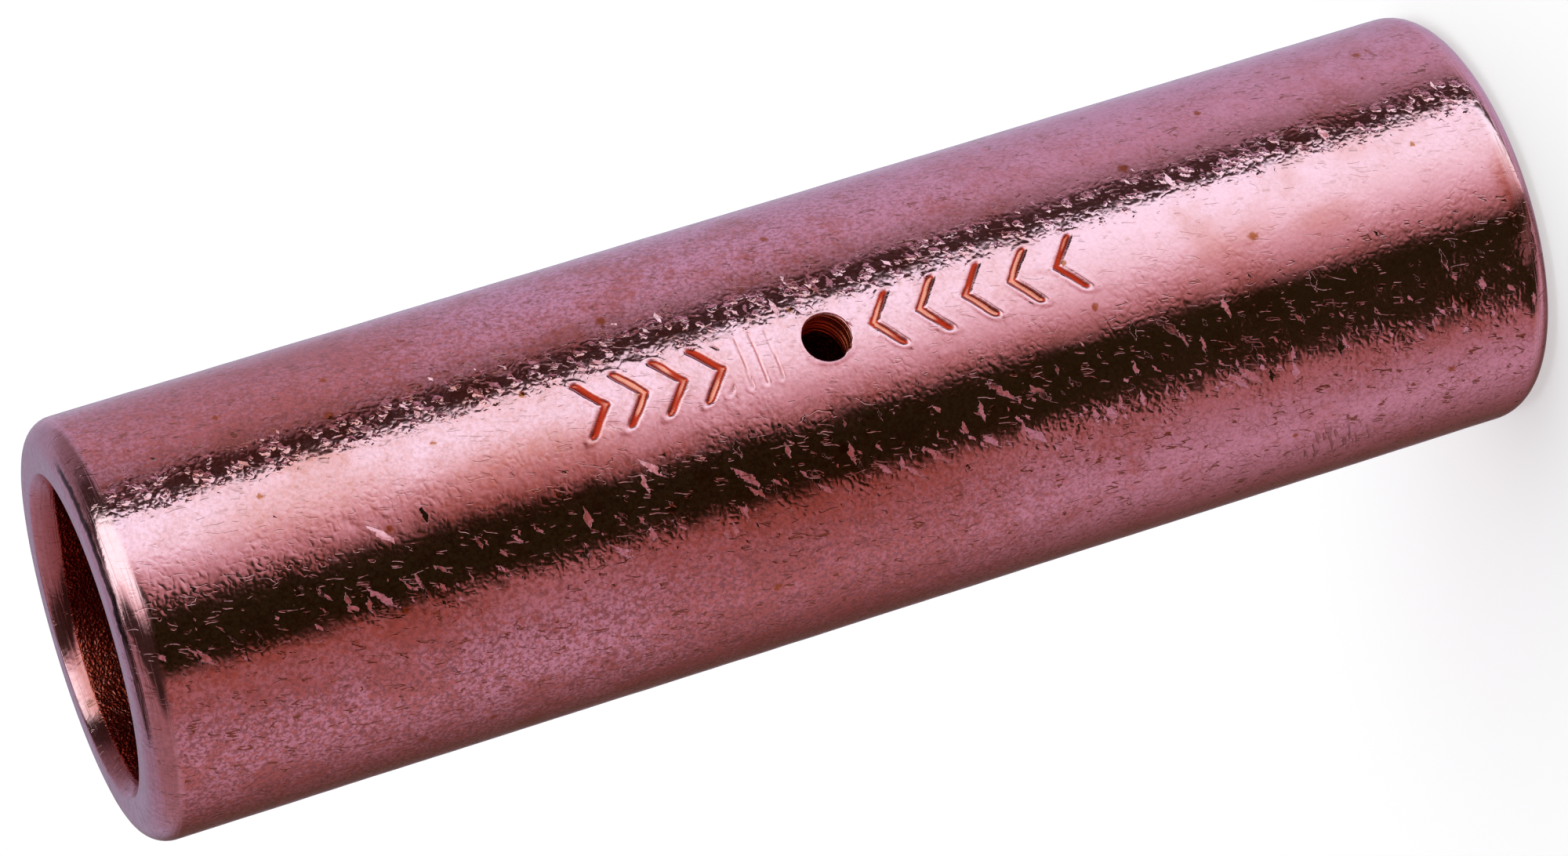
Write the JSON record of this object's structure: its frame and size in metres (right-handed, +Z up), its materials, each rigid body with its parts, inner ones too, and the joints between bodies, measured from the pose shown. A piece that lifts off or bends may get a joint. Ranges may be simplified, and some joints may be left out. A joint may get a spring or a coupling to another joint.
{
  "type": "butt splice connector",
  "caption": "Plain copper crimp sleeve that joins two stranded conductors end to end, with rounded ends, bevelled mouths and a round sight hole at its middle.",
  "frame": {"origin": "middle of the lower end face, on the axis of the sleeve", "axes": "+Z up the sleeve's axis as it stands on one end; the sight hole faces -Y"},
  "size_m": [0.023, 0.023, 0.08],
  "materials": {
    "copper": "bare annealed copper, drawn and tumbled, with fine dents and a slight pink and violet tarnish"
  },
  "bodies": {
    "root": {"sleeve": "copper"}
  },
  "joints": []
}
